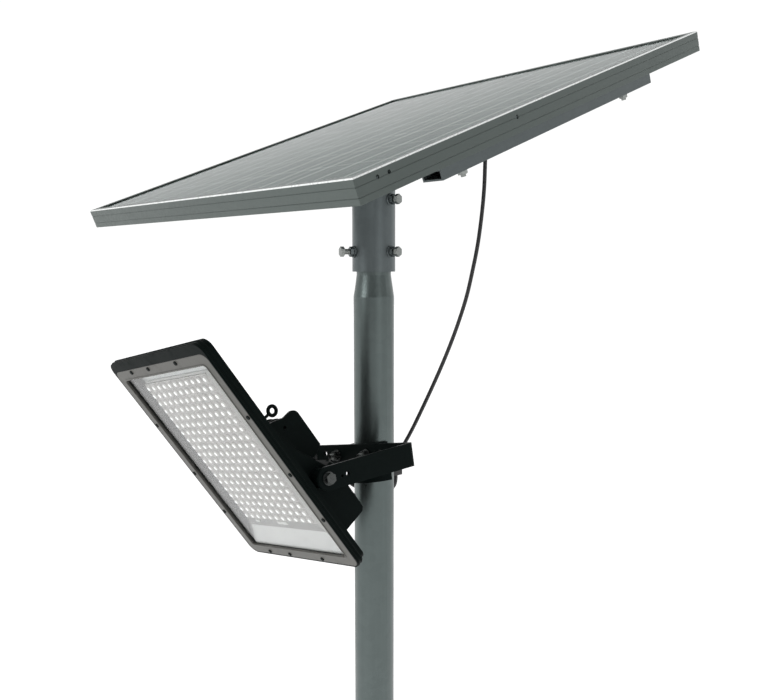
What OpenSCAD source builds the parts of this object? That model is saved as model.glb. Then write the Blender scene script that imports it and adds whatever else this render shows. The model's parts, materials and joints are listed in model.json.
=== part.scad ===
// Solar street lamp: a floor-standing steel pole, a tilted solar panel on a clamped sleeve,
// and a floodlight in a U-shaped yoke that is held to the pole by a U-bolt.
// Millimetres, +Z up, +Y up the slope of the panel, origin at the centre of the base plate's underside.

/* [Pole] */
// Outside diameter of the pole tube
pole_od = 60.3; // [50:0.1:76]
// Wall of the pole tube
pole_wall = 3; // [2:0.1:5]
// Height of the pole's top end above the floor
pole_h = 2345; // [1800:5:4000]
// Outside diameter of the swaged neck
neck_od = 51; // [42:0.1:60]
// Straight length of the neck
neck_len = 150; // [120:1:220]
// Length of the cone between the tube and the neck
swage_len = 32; // [20:1:60]

/* [Base] */
// Side of the square base plate
base_w = 260; // [220:5:400]
// Thickness of the base plate
base_t = 12; // [8:1:20]
// Distance between anchor holes, both ways
anchor_pitch = 190; // [150:5:320]
// Diameter of an anchor hole
anchor_d = 18; // [12:1:24]
// Height of a base gusset
gusset_h = 110; // [60:5:200]
// Thickness of a base gusset
gusset_t = 8; // [5:1:12]

/* [Sleeve] */
// Play between the neck and the bore of the sleeve that slips over it
sleeve_play = 6.5; // [2:0.1:12]
// Wall of the sleeve
sleeve_wall = 3; // [2:0.1:5]
// Length of neck inside the sleeve
sleeve_grip = 145; // [120:1:200]
// Height of the lower row of set bolts above the sleeve's rim
bolt_row_low = 29; // [20:1:50]
// Distance between the two rows of set bolts
bolt_row_gap = 75; // [50:1:90]
// Thread diameter of a set bolt
set_bolt_d = 8; // [6:1:10]

/* [Panel] */
// Width of the panel across the slope
panel_w = 645; // [500:5:800]
// Length of the panel up the slope
panel_l = 670; // [500:5:900]
// Height of the panel frame
panel_t = 27; // [25:1:40]
// Slope of the panel
panel_tilt = 21.5; // [10:0.5:35]
// Height of the panel's top centre above the sleeve's rim
panel_rise = 215; // [180:1:300]
// How far the panel's centre lies up the slope from the pole's axis
panel_shift = 18; // [0:1:40]
// How far the panel sits to the left of the pole's axis
panel_side = 6; // [0:1:30]
// Width of the frame's top lip and of its bottom flange
frame_flange = 25; // [15:1:35]
// Wall of the frame section
frame_wall = 2; // [1.5:0.1:3]
// Thickness of the cover glass
glass_t = 3.2; // [2:0.1:5]

/* [Rack] */
// Width of a rail
rail_w = 30; // [20:1:40]
// Height of a rail
rail_h = 12; // [10:1:30]
// Wall of rails and cross beams
rail_wall = 2; // [1.5:0.1:3]
// Length of a rail
rail_len = 418; // [300:1:500]
// Distance of the rails' low end from the panel's low edge
rail_start = 115; // [40:5:200]
// Distance of a rail bolt from the end of its rail
rail_bolt_inset = 46; // [25:1:80]
// Side of the square head plate across the slope
head_plate_w = 170; // [120:5:240]

/* [Bracket] */
// Height of the U-bolt's centre below the sleeve's rim
bracket_drop = 271; // [200:1:500]
// How far the bracket is turned about the axis between pole and lamp
bracket_roll = 11; // [-15:1:15]
// Length of a lamp ear, from the housing's side to the yoke's arm
ear_reach = 17.7; // [10:0.1:40]
// Width of the yoke's flat bar
yoke_bar = 32; // [24:1:50]
// Thickness of the yoke's flat bar
yoke_t = 5; // [4:0.5:8]
// Distance from the yoke's back face to the pivot axis
yoke_reach = 149; // [140:1:220]
// How far the arms fall towards the pivot
yoke_dip = 7.5; // [0:0.5:15]
// Rod diameter of the U-bolt
u_bolt_d = 8; // [6:1:10]
// Thickness of the saddle shell between pole and yoke
saddle_t = 6; // [4:0.5:8]

/* [Lamp] */
// Width of the floodlight
lamp_w = 262; // [200:1:400]
// Length of the floodlight
lamp_l = 356; // [300:1:500]
// How far the light looks down from level
lamp_tilt = 32.5; // [0:1:70]
// Depth of the rim around the face
rim_depth = 16; // [12:0.5:20]
// Depth of the housing at its deepest
body_depth = 63; // [60:1:90]
// How much narrower the housing's deep rear part is than the face, on each side
body_inset = 19; // [12:1:40]
// Depth of the rear box on the housing
box_depth = 16; // [12:1:30]
// Distance of the pivot axis below the middle of the face
pivot_drop = 56.5; // [50:0.5:62]
// Depth of the pivot axis behind the face
pivot_depth = 33.5; // [31:0.5:40]
// Wall of the housing
lamp_wall = 3; // [2:0.5:5]

/* [Cable] */
// Diameter of the panel cable
cable_d = 6; // [4:0.5:8]

/* [Hidden] */
$fn = 64;

// Clearances
fit_gap = 0.3;      // between parts that move past each other
running_gap = 0.05; // radial, of a bolt in a bore it turns in
thread_gap = 0.05;  // radial, of a bolt in its nut or threaded hole

// Fasteners
screw_r = 2;
tap_r = screw_r + thread_gap;
washer_r = 8.5;
washer_t = 1.6;

// Pole and base
pole_r = pole_od / 2;
neck_r = neck_od / 2;
neck_z = pole_h - neck_len;
swage_z = neck_z - swage_len;
gusset_w = (base_w * 0.92 - pole_od) / 2;
gusset_toe = 12;

// Sleeve
sleeve_z = pole_h - sleeve_grip;
sleeve_ri = (neck_od + sleeve_play) / 2;
sleeve_r = sleeve_ri + sleeve_wall;
set_bolt_angles = [12, 132, 252];
nut_h = 6.5;
nut_af = 13;
head_h = 5.3;
bolt_gap_in = 3;
bolt_gap_out = 9;

// Panel
panel_z = sleeve_z + panel_rise;
plate_t = 6;
rack_z = -panel_t - rail_h;       // underside of rails and beams, from the panel's top face
half_w = panel_w / 2;
half_l = panel_l / 2;
rail_x = half_w - rail_w / 2 - 1;
rail_y0 = rail_start - half_l;
rail_mid = rail_y0 + rail_len / 2;
beam_ys = [rail_mid - 75, rail_mid + 75];
axis_y = -panel_shift / cos(panel_tilt);   // where the pole's axis meets the panel, along the slope
sheet_inset = frame_wall + 0.3;
sheet_w = panel_w - 2 * sheet_inset;
sheet_l = panel_l - 2 * sheet_inset;
lip_t = 1.8;
glass_z = -lip_t;
cell_z = glass_z - glass_t;
cell_t = 0.8;
back_z = cell_z - cell_t;
back_t = 0.6;
box_w = 110;
box_l = 84;
box_h = 17;
box_lid_t = 3;
box_y = 118;
gland_x = box_w / 2;
gland_z = back_z - back_t - 10;
rail_bolt_r = 3;
rail_bolt_ys = [rail_y0 + rail_bolt_inset, rail_y0 + rail_len - rail_bolt_inset];

// Bracket
bracket_z = sleeve_z - bracket_drop;
yoke_back = -(pole_r + 8.35);
yoke_front = yoke_back - yoke_t;
bend_r = 8;
arm_end_r = 15;
body_w = lamp_w - 2 * body_inset;
yoke_w = body_w + 2 * (ear_reach + fit_gap + yoke_t);
arm_x = yoke_w / 2;
pivot_y = yoke_back - yoke_reach;
u_half = pole_r + u_bolt_d / 2 + 0.85;
u_leg_end = yoke_front - 15;
saddle_ri = pole_r + fit_gap;
saddle_ro = saddle_ri + saddle_t;
saddle_top = 14;
saddle_bottom = -43;

// Lamp
pivot_r = 4;
ear_r = 13;
corner_r = 14;
bezel_t = 2.5;
bezel_w = 15;
bezel_top = 14;   // dark strip of the rim above the bezel
bezel_edge = 2;
lens_z0 = 9.5;
lens_t = 2.5;
board_t = 1.6;
board_y = -28;
post_h = 3.5;
spreader_t = 2.4;
back_wall = 2.5;
spreader_z = lens_z0 + lens_t + board_t;
cavity_z = spreader_z + spreader_t;
bezel_y = (bezel_edge - bezel_top) / 2;
bezel_l = lamp_l - bezel_edge - bezel_top;
bezel_ow = lamp_w - 2 * bezel_edge;
glass_w = bezel_ow - 20;
glass_l = bezel_l - 20;
lamp_glass_t = 3;
gasket_t = 1.5;
window_w = bezel_ow - 2 * bezel_w;
window_l = bezel_l - 2 * bezel_w;
lens_side = 26;   // margins between the window and the lens plate
lens_head = 15;
lens_foot = 49;
lens_w = window_w - 2 * lens_side;
lens_l = window_l - lens_head - lens_foot;
lens_y = bezel_y + (lens_foot - lens_head) / 2;
rear_y = -pivot_drop;   // the rear parts are placed from the pivot's height
body_top = 60;
body_foot = -lamp_l / 2 + 41;
cheek_x = body_w / 2 - 30;
cheek_top = 23;
cheek_t = 4;
cheek_depth = body_depth + 17.5;
fin_depth = body_depth + 8;
fin_xs = [-cheek_x + 18, for (x = [-18:14:cheek_x - 16]) x];
cover_w = body_w - 56;
cover_top = rear_y - 12.5;
cover_foot = body_foot - 10;
cover_l = cover_top - cover_foot;
cover_y = (cover_top + cover_foot) / 2;
cover_screw_ys = [cover_top - 6, cover_foot + 17];
cover_screw_x = cover_w / 2 - 6;
pad_t = 5;
cell_r = 16;
cell_l = 66;
cell_y = (body_foot + 6 + rear_y - 7.5) / 2;
cell_depth = body_depth - 25;
cell_pitch = 33;
cell_count = floor((body_w - 2 * lamp_wall - 14) / cell_pitch);
clip_ring_x = -u_half - 20.8;
clip_ring_z = -yoke_bar / 2 - 9.6;
clip_tab_screw = -8;
lamp_gland_x = -40;
gland_seat = body_depth - 1.3;
lamp_gland_tip = gland_seat + 21.3;
cable_turn = 69;   // distance from the pivot axis at which the cable leaves the lamp's swing
eye_at = [cheek_x, 40, 52.5];
eye_seat = rim_depth + 5.5;
eye_r = 6;
eye_rod = 2.4;

// Cable route, from the junction box to the pole clip and to the yoke clip
route_upper = [
    [67.4, 133.8, 2444], [77, 133.8, 2444], [88, 133.8, 2441], [95, 133.5, 2433], [99, 133, 2415],
    [100, 132.5, 2390], [99, 132, 2366], [98, 131.5, 2323], [96, 129, 2283], [92, 125.5, 2240],
    [86, 121, 2200], [78, 117, 2161], [67, 110, 2119], [55, 100.5, 2077], [40, 90, 2033],
    [20, 79.5, 1984], [8, 71, 1953], [2, 61, 1932], [0, 51, 1918], [0, 45.3, 1909], [0, 44, 1905], [0, 44, 1901.8]
];
route_middle = [
    [0, 44, 1884.8], [0, 44, 1876], [-3, 43, 1866], [-12, 40, 1859], [-26, 32, 1856],
    [-38, 18, 1858], [-44, 0, 1864], [-47, -14, 1875], [-49, -23, 1886], [-50, -30, 1892.3], [-50, -35.4, 1893]
];
// In the bracket's frame, from the yoke clip over the lamp's swing to the turning point
route_lower = [
    [-55.8, -48.3, -25.6], [-55.8, -53.5, -25.4], [-55, -60, -23], [-54, -66, -17.5], [-53, -70.2, -10],
    [-52, -72.3, -1.5], [-51, -73.9, 7], [-49.5, -77.2, 15.5], [-48, -82.9, 23.5], [-46, -90.5, 29.6],
    [-44, -99.5, 33.4], [-42, -109, 35], [-40.6, -117.6, 34.4], [-40.1, -124.4, 32.3], [-40, -129, 29.8]
];
cable_sides = 10;

// Pole clip
clip_z0 = bracket_z - 44;
clip_z1 = clip_z0 + 16;
clip_y = pole_r + 13.85;
clip_foot = 20;
clip_screw_z = clip_z0 - 10;

// ---- shared shapes ----

// A hexagon prism, given its width across flats
module hex(af, h) {
    cylinder(d = af / cos(30), h = h, $fn = 6);
}

// A flat plate with round corners, centred, from z = 0 up
module round_plate(w, l, r, h) {
    linear_extrude(h) union() {
        square([w - 2 * r, l], center = true);
        square([w, l - 2 * r], center = true);
        for (sx = [-1, 1], sy = [-1, 1]) translate([sx * (w / 2 - r), sy * (l / 2 - r)]) circle(r);
    }
}

// Places the panel's frame: x across, y up the slope, z out of the top face
module on_panel() {
    translate([-panel_side, panel_shift, panel_z]) rotate([panel_tilt, 0, 0]) children();
}

// Places the bracket's frame: x along the pivot axis, -y towards the lamp
module on_bracket() {
    translate([0, 0, bracket_z]) rotate([0, -bracket_roll, 0]) children();
}

// Places the lamp's frame: x across, y up the face, z is the depth behind the face
module on_lamp() {
    on_bracket() translate([0, pivot_y, -yoke_dip]) rotate([lamp_tilt, 0, 0])
        translate([0, -pivot_depth, pivot_drop]) rotate([90, 0, 0]) mirror([0, 0, 1]) children();
}

// ---- pole ----

module base_plate() {
    color("#b7bdbb") difference() {
        round_plate(base_w, base_w, 12, base_t);
        for (sx = [-1, 1], sy = [-1, 1])
            translate([sx, sy, 0] * anchor_pitch / 2 + [0, 0, -1]) cylinder(d = anchor_d, h = base_t + 2);
    }
}

module base_gussets() {
    color("#b7bdbb") for (a = [0:90:270]) rotate(a)
        translate([pole_r + fit_gap, gusset_t / 2, base_t]) rotate([90, 0, 0]) linear_extrude(gusset_t)
            polygon([[0, 0], [gusset_w, 0], [gusset_w, gusset_toe], [gusset_toe, gusset_h], [0, gusset_h]]);
}

module pole_tube() {
    color("#a9b2b1") difference() {
        rotate_extrude() polygon([
            [pole_r - pole_wall, base_t], [pole_r, base_t], [pole_r, swage_z], [neck_r, neck_z],
            [neck_r, pole_h], [neck_r - pole_wall, pole_h], [neck_r - pole_wall, neck_z],
            [pole_r - pole_wall, swage_z]
        ]);
        translate([0, 0, clip_screw_z]) rotate([-90, 0, 0]) cylinder(r = tap_r, h = 60);
    }
}

module pole_clip() {
    color("#1c1e20") difference() {
        translate([-8, 0, clip_z0 - clip_foot]) cube([16, clip_y + 6.5, clip_z1 - clip_z0 + clip_foot]);
        translate([0, 0, clip_z0 - clip_foot - 1]) cylinder(r = pole_r + fit_gap, h = 60);
        translate([-9, pole_r + 4, clip_z0 - clip_foot - 1]) cube([18, 30, clip_foot + 1]);
        translate([0, clip_y, clip_z0 - 1]) cylinder(d = cable_d + 0.4, h = 60);
        translate([0, 0, clip_screw_z]) rotate([-90, 0, 0]) cylinder(r = tap_r, h = 60);
    }
}

module clip_screw() {
    color("#8d9494") translate([0, 0, clip_screw_z]) rotate([-90, 0, 0]) {
        translate([0, 0, pole_r - 6]) cylinder(r = screw_r, h = 10);
        translate([0, 0, pole_r + 4]) cylinder(r = 4, h = 2.4);
    }
}

// ---- head: sleeve, rack and panel ----

module sleeve() {
    color("#9aa3a4") difference() {
        translate([0, 0, sleeve_z]) cylinder(r = sleeve_r, h = panel_rise);
        translate([0, 0, sleeve_z - 1]) cylinder(r = sleeve_ri, h = panel_rise + 2);
        on_panel() translate([-panel_w, -half_l, rack_z - plate_t]) cube([2 * panel_w, panel_l, 200]);
        for (row = [0, 1], a = set_bolt_angles)
            translate([0, 0, sleeve_z + bolt_row_low + row * bolt_row_gap]) rotate([0, 90, a])
                translate([0, 0, neck_r]) cylinder(d = set_bolt_d + 0.6, h = 20);
    }
}

// Puts children on every set bolt's line; the first lower bolt is the longer one
module at_set_bolts(rows = [0, 1]) {
    for (row = rows, a = set_bolt_angles)
        translate([0, 0, sleeve_z + bolt_row_low + row * bolt_row_gap]) rotate([0, 90, a]) children();
}

// Where a weld nut starts: it is notched to sit on the round sleeve
module sleeve_nuts() {
    color("#8f9798") difference() {
        at_set_bolts() translate([0, 0, sleeve_r - 0.8]) hex(nut_af, nut_h + 0.8);
        translate([0, 0, sleeve_z]) cylinder(r = sleeve_r, h = panel_rise);
        at_set_bolts() cylinder(r = set_bolt_d / 2 + thread_gap, h = 60);
    }
}

module set_bolt(gap) {
    tip = neck_r + fit_gap;
    seat = sleeve_r + nut_h + gap;
    translate([0, 0, tip]) cylinder(d = set_bolt_d, h = seat - tip);
    translate([0, 0, seat]) hex(nut_af, head_h);
}

module set_bolts() {
    color("#a8adad") for (row = [0, 1], a = set_bolt_angles)
        translate([0, 0, sleeve_z + bolt_row_low + row * bolt_row_gap]) rotate([0, 90, a])
            set_bolt(row == 0 && a == set_bolt_angles[2] ? bolt_gap_out : bolt_gap_in);
}

module head_plate() {
    color("#9aa3a4") on_panel() translate([panel_side, (beam_ys[0] + beam_ys[1]) / 2, rack_z - plate_t])
        round_plate(head_plate_w, beam_ys[1] - beam_ys[0] + rail_w + 10, 10, plate_t);
}

// Two triangular webs between the sleeve's sides and the head plate
module head_gussets() {
    web_h = 32;
    color("#9aa3a4") difference() {
        for (s = [-1, 1]) translate([0, panel_shift + axis_y * cos(panel_tilt) - 3, 0])
            translate([0, 0, sleeve_z + panel_rise - 100]) rotate([90, 0, 0]) translate([0, 0, -6])
                linear_extrude(6) polygon([[s * (sleeve_r + 0.1), 12], [s * (sleeve_r + 0.1), 120],
                    [s * (sleeve_r + web_h), 120], [s * (sleeve_r + web_h), 36]]);
        on_panel() translate([-panel_w, -half_l, rack_z - plate_t]) cube([2 * panel_w, panel_l, 200]);
    }
}

// An open-ended rectangular tube along y, from y = 0, centred in x, from z = 0 up
module box_tube(w, h, l, wall) {
    difference() {
        translate([-w / 2, 0, 0]) cube([w, l, h]);
        translate([-w / 2 + wall, -1, wall]) cube([w - 2 * wall, l + 2, h - 2 * wall]);
    }
}

module cross_beam(y) {
    color("#8e9796") on_panel() translate([-rail_x + rail_w / 2, y, rack_z])
        rotate(-90) box_tube(rail_w, rail_h, 2 * rail_x - rail_w, rail_wall);
}

module cross_beam_low() { cross_beam(beam_ys[0]); }
module cross_beam_high() { cross_beam(beam_ys[1]); }

module rail(side) {
    color("#7d8686") on_panel() difference() {
        translate([side * rail_x, rail_y0, rack_z]) box_tube(rail_w, rail_h, rail_len, rail_wall);
        for (y = rail_bolt_ys) translate([side * rail_x, y, rack_z - 1])
            cylinder(r = rail_bolt_r + 0.3, h = rail_h + 2);
    }
}

module rail_left() { rail(-1); }
module rail_right() { rail(1); }

// Bolts through the frame's bottom flange and the rail, heads inside the frame
module rail_bolts() {
    flange_top = -panel_t + frame_wall;
    color("#a8adad") on_panel() for (s = [-1, 1], y = rail_bolt_ys) translate([s * rail_x, y, 0]) {
        translate([0, 0, rack_z - 9]) cylinder(r = rail_bolt_r, h = flange_top - rack_z + 9);
        translate([0, 0, flange_top]) hex(10, 4);
    }
}

module rail_nuts() {
    color("#6f7677") on_panel() for (s = [-1, 1], y = rail_bolt_ys)
        translate([s * rail_x, y, rack_z]) mirror([0, 0, 1]) difference() {
            union() {
                cylinder(r = 7, h = 1.2);
                hex(10, 6.2);
            }
            translate([0, 0, -1]) cylinder(r = rail_bolt_r + thread_gap, h = 9);
        }
}

// Section of the frame: outer wall, top lip, sheet groove and bottom flange; x = 0 is outside
module frame_section() {
    groove_z = back_z - back_t;
    difference() {
        union() {
            translate([0, -panel_t]) square([frame_wall, panel_t]);
            translate([0, -lip_t]) square([10, lip_t]);
            translate([0, groove_z - 1.6]) square([9, 1.6]);
            translate([0, -panel_t]) square([frame_flange, frame_wall]);
        }
        for (z = [-9.5, -20]) translate([0, z]) circle(0.55, $fn = 4);
    }
}

// One frame member along x, mitred at both ends; side holes by list of distances
module frame_member(len, holes = []) {
    difference() {
        rotate([90, 0, 90]) translate([0, 0, -len / 2]) linear_extrude(len) frame_section();
        for (s = [-1, 1]) translate([s * (len / 2), 0, -panel_t - 1]) rotate(s * 45)
            translate([s > 0 ? 0 : -60, -30, 0]) cube([60, 90, panel_t + 2]);
        for (h = holes) translate([h[0], -1, h[1]]) rotate([-90, 0, 0])
            cylinder(d = h[2], h = frame_wall + 2);
        for (b = frame_bolt_xs(len)) translate([b, rail_w / 2 + 1, -panel_t - 1])
            cylinder(r = rail_bolt_r + 0.3, h = frame_wall + 2);
    }
}

// Bolt holes are only in the two side members
function frame_bolt_xs(len) = len == panel_l ? [for (y = rail_bolt_ys) y] : [];

module frame_low() {
    color("#8e9b98") on_panel() translate([0, -half_l, 0]) frame_member(panel_w);
}

module frame_high() {
    color("#8e9b98") on_panel() rotate(180) translate([0, -half_l, 0]) frame_member(panel_w);
}

side_holes = [[30 - panel_l / 2, -8, 4.5], [46 - panel_l / 2, -8, 4.5], [250 - panel_l / 2, -9, 5]];

module frame_right() {
    color("#8e9b98") on_panel() translate([half_w, 0, 0]) rotate(90) frame_member(panel_l, side_holes);
}

module frame_left() {
    color("#8e9b98") on_panel() mirror([1, 0, 0]) translate([half_w, 0, 0]) rotate(90)
        frame_member(panel_l, side_holes);
}

// L-shaped keys inside the four corners of the frame
module corner_keys() {
    leg = 34;
    key_t = 3;
    color("#7d8686") on_panel() for (sx = [-1, 1], sy = [-1, 1]) scale([sx, sy, 1])
        translate([half_w - frame_wall - 0.1, half_l - frame_wall - 0.1, -panel_t + frame_wall + 0.1])
            mirror([1, 1, 0]) linear_extrude(14) union() {
                square([leg, key_t]);
                square([key_t, leg]);
            }
}

module solar_glass() {
    color("#9fb0ae", 0.6) on_panel() translate([0, 0, cell_z]) linear_extrude(glass_t)
        square([sheet_w, sheet_l], center = true);
}

module cell_sheet() {
    color("#35454a") on_panel() translate([0, 0, back_z]) linear_extrude(cell_t)
        square([sheet_w, sheet_l], center = true);
}

module backsheet() {
    color("#e6e8e6") on_panel() translate([0, 0, back_z - back_t]) linear_extrude(back_t)
        square([sheet_w, sheet_l], center = true);
}

module junction_box() {
    top = back_z - back_t;
    color("#1c1e20") on_panel() translate([0, box_y, top - box_h]) difference() {
        round_plate(box_w, box_l, 6, box_h);
        translate([0, 0, -1]) round_plate(box_w - 5, box_l - 5, 4, box_h - 1.5);
        translate([box_w / 2 - 6, 0, gland_z - top + box_h]) rotate([0, 90, 0])
            cylinder(r = 5.2, h = 12);
    }
}

module junction_box_lid() {
    color("#232629") on_panel() translate([0, box_y, back_z - back_t - box_h - box_lid_t]) union() {
        round_plate(box_w, box_l, 6, box_lid_t);
        translate([0, 0, box_lid_t - 0.01]) round_plate(box_w - 5.6, box_l - 5.6, 4, 2);
    }
}

module box_gland() {
    color("#16181a") on_panel() translate([gland_x, box_y, gland_z]) rotate([0, 90, 0]) difference() {
        union() {
            translate([0, 0, -5]) cylinder(r = 5, h = 5);
            hex(14, 5);
            translate([0, 0, 5]) cylinder(r = 6, h = 8);
            translate([0, 0, 13]) cylinder(r1 = 6, r2 = 4.4, h = 5);
        }
        translate([0, 0, -6]) cylinder(d = cable_d + 0.2, h = 24);
    }
}

// ---- cable ----

function unit(v) = v / norm(v);

// A point and its direction at parameter u on a smooth curve through the points of a route
function at(p, i) = p[max(0, min(len(p) - 1, i))];
function curve(p, i, t) = let (a = at(p, i - 1), b = at(p, i), c = at(p, i + 1), d = at(p, i + 2))
    0.5 * (2 * b + (c - a) * t + (2 * a - 5 * b + 4 * c - d) * t * t
        + (3 * b - a - 3 * c + d) * t * t * t);
function smooth(p, n) = concat([for (i = [0:len(p) - 2], k = [0:n - 1]) curve(p, i, k / n)],
    [p[len(p) - 1]]);

// A side vector that changes little along the route
function sideways(t) = unit(cross(t, abs(t[2]) > 0.9 ? [0, 1, 0] : [0, 0, 1]));
function frames(p) = [for (i = [0:len(p) - 1]) unit(at(p, i + 1) - at(p, i - 1))];
function carried(ts, i, v) = i == 0 ? [v] : let (last = carried(ts, i - 1, v), w = last[i - 1])
    concat(last, [unit(w - ts[i] * (w * ts[i]))]);

module tube(route, d, n) {
    p = smooth(route, n);
    ts = frames(p);
    us = carried(ts, len(p) - 1, sideways(ts[0]));
    rings = [for (i = [0:len(p) - 1], k = [0:cable_sides - 1])
        p[i] + d / 2 * (cos(k * 360 / cable_sides) * us[i] + sin(k * 360 / cable_sides) * cross(ts[i], us[i]))];
    walls = [for (i = [0:len(p) - 2], k = [0:cable_sides - 1]) let (k2 = (k + 1) % cable_sides)
        [i * cable_sides + k, i * cable_sides + k2, (i + 1) * cable_sides + k2, (i + 1) * cable_sides + k]];
    ends = [[for (k = [cable_sides - 1:-1:0]) k],
        [for (k = [0:cable_sides - 1]) (len(p) - 1) * cable_sides + k]];
    polyhedron(points = rings, faces = concat([for (w = walls) [w[3], w[2], w[1], w[0]]],
        [for (e = ends) [for (j = [len(e) - 1:-1:0]) e[j]]]));
}

module cable_upper() { color("#101112") tube(route_upper, cable_d, 2); }
module cable_middle() { color("#101112") tube(route_middle, cable_d, 2); }
module cable_lower() { color("#101112") on_bracket() tube(route_lower, cable_d, 2); }

// The stretch that stands out of the lamp's gland and swings with the lamp
module cable_tail() {
    start = lamp_gland_tip + fit_gap;
    color("#101112") on_lamp() translate([lamp_gland_x, -pivot_drop, start])
        cylinder(d = cable_d, h = pivot_depth + cable_turn - start, $fn = 24);
}

// ---- bracket ----

module u_bolt() {
    color("#a8adad") on_bracket() {
        rotate_extrude(angle = 180) translate([u_half, 0]) circle(d = u_bolt_d);
        for (s = [-1, 1]) translate([s * u_half, 0, 0]) rotate([90, 0, 0])
            cylinder(d = u_bolt_d, h = -u_leg_end);
    }
}

module u_bolt_washers() {
    color("#b4b8b8") on_bracket() for (s = [-1, 1]) translate([s * u_half, yoke_front, 0])
        rotate([90, 0, 0]) difference() {
            cylinder(r = washer_r, h = washer_t);
            translate([0, 0, -1]) cylinder(r = u_bolt_d / 2 + 0.2, h = 4);
        }
}

module u_bolt_nuts() {
    color("#a8adad") on_bracket() for (s = [-1, 1]) translate([s * u_half, yoke_front - washer_t, 0])
        rotate([90, 0, 0]) difference() {
            hex(nut_af, nut_h);
            translate([0, 0, -1]) cylinder(r = u_bolt_d / 2 + thread_gap, h = nut_h + 2);
        }
}

// Half shell between the pole and the yoke, with notches for the U-bolt's legs
module saddle() {
    color("#202427") difference() {
        on_bracket() difference() {
            union() {
                translate([0, 0, saddle_bottom]) cylinder(r = saddle_ro, h = saddle_top - saddle_bottom);
                translate([-12, yoke_back, -12]) cube([24, 12, 24]);
            }
            translate([-60, -2, -60]) cube(120);
            for (s = [-1, 1]) translate([s * u_half, 1, 0]) rotate([90, 0, 0])
                cylinder(r = u_bolt_d / 2 + fit_gap, h = 60);
        }
        translate([0, 0, bracket_z - 80]) cylinder(r = saddle_ri, h = 160);
    }
}

// Flat bar bent to a U; its arms fall a little towards the pivot
module yoke() {
    half = yoke_bar / 2;
    bend_y = yoke_back - bend_r;
    color("#26292c") on_bracket() difference() {
        union() {
            translate([-arm_x + bend_r, yoke_front, -half]) cube([yoke_w - 2 * bend_r, yoke_t, yoke_bar]);
            for (s = [-1, 1]) {
                translate([s * (arm_x - bend_r), bend_y, -half]) rotate(s > 0 ? 0 : 90)
                    rotate_extrude(angle = 90) translate([bend_r - yoke_t, 0]) square([yoke_t, yoke_bar]);
                translate([s > 0 ? arm_x - yoke_t : -arm_x, 0, 0]) rotate([90, 0, 90])
                    linear_extrude(yoke_t) union() {
                        polygon([[bend_y, half], [bend_y, -half], [pivot_y, -yoke_dip - arm_end_r],
                            [pivot_y, -yoke_dip + arm_end_r]]);
                        translate([pivot_y, -yoke_dip]) circle(arm_end_r);
                    }
            }
        }
        // pivot holes and the two locking holes behind each
        for (h = [[0, -yoke_dip, pivot_r + running_gap], [22, -yoke_dip - 0.5, 1.9], [31, -yoke_dip + 1, 2.8]])
            translate([-arm_x - 1, pivot_y + h[0], h[1]]) rotate([0, 90, 0]) cylinder(r = h[2], h = yoke_w + 2);
        // U-bolt legs, two spare holes and the cable clip's screw
        for (h = [[-u_half, 0, u_bolt_d / 2 + fit_gap], [u_half, 0, u_bolt_d / 2 + fit_gap],
                [-u_half - 31, 3, 4.5], [u_half + 31, 3, 4.5], [clip_ring_x, clip_tab_screw, tap_r]])
            translate([h[0], yoke_back + 1, h[1]]) rotate([90, 0, 0]) cylinder(r = h[2], h = yoke_t + 2);
    }
}

// A tab screwed behind the yoke's base, with a ring for the cable below its lower edge
module yoke_clip() {
    color("#1c1e20") on_bracket() difference() {
        union() {
            translate([clip_ring_x - 6, yoke_back, clip_ring_z]) cube([12, 2.5, 22]);
            translate([clip_ring_x, yoke_back + 2.5, clip_ring_z]) rotate([90, 0, 0]) cylinder(r = 6, h = 12);
        }
        translate([clip_ring_x, yoke_back + 4, clip_ring_z]) rotate([90, 0, 0])
            cylinder(d = cable_d + 0.4, h = 16);
        translate([clip_ring_x, yoke_back + 4, clip_tab_screw]) rotate([90, 0, 0]) cylinder(r = tap_r, h = 8);
    }
}

module yoke_clip_screw() {
    color("#8d9494") on_bracket() translate([clip_ring_x, yoke_back, clip_tab_screw]) rotate([-90, 0, 0]) {
        translate([0, 0, -yoke_t - 1]) cylinder(r = screw_r, h = yoke_t + 3.5);
        translate([0, 0, 2.5]) cylinder(r = 3.8, h = 2.2);
    }
}

// ---- lamp ----

// Side outline of the deep rear housing: x is height on the face, y is depth; d insets it
function body_outline(d) = [
    [body_top - 3 * d, rim_depth - 1 - d], [rear_y + 43 - d * 0.2, 34 - d], [rear_y + 7 - d * 0.3, body_depth - 11 - d],
    [cover_top - d * 0.4, body_depth - d], [body_foot + 4 + d * 0.6, body_depth - d],
    [body_foot + d, body_depth - 5 - d], [body_foot + d, rim_depth - 1 - d]
];

// Extrudes a side outline across the lamp, centred
module across(w) {
    rotate([90, 0, 90]) translate([0, 0, -w / 2]) linear_extrude(w) children();
}

module cheek(x) {
    translate([x, 0, 0]) across(cheek_t) union() {
        polygon([[34, rim_depth], [29, 45], [24, 56], [cheek_top, 60], [cheek_top, cheek_depth - 10],
            [cheek_top - 10, cheek_depth], [rear_y + 17, cheek_depth], [rear_y + 11, 66], [rear_y + 11, 40]]);
        translate([cheek_top - 10, cheek_depth - 10]) circle(10);
    }
}

module fin(x) {
    translate([x, 0, 0]) across(3) union() {
        polygon([[40, rim_depth], [20, fin_depth - 12], [8, fin_depth], [rear_y + 13, fin_depth], [rear_y + 11, 40]]);
        translate([8, fin_depth - 12]) circle(12);
    }
}

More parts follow.
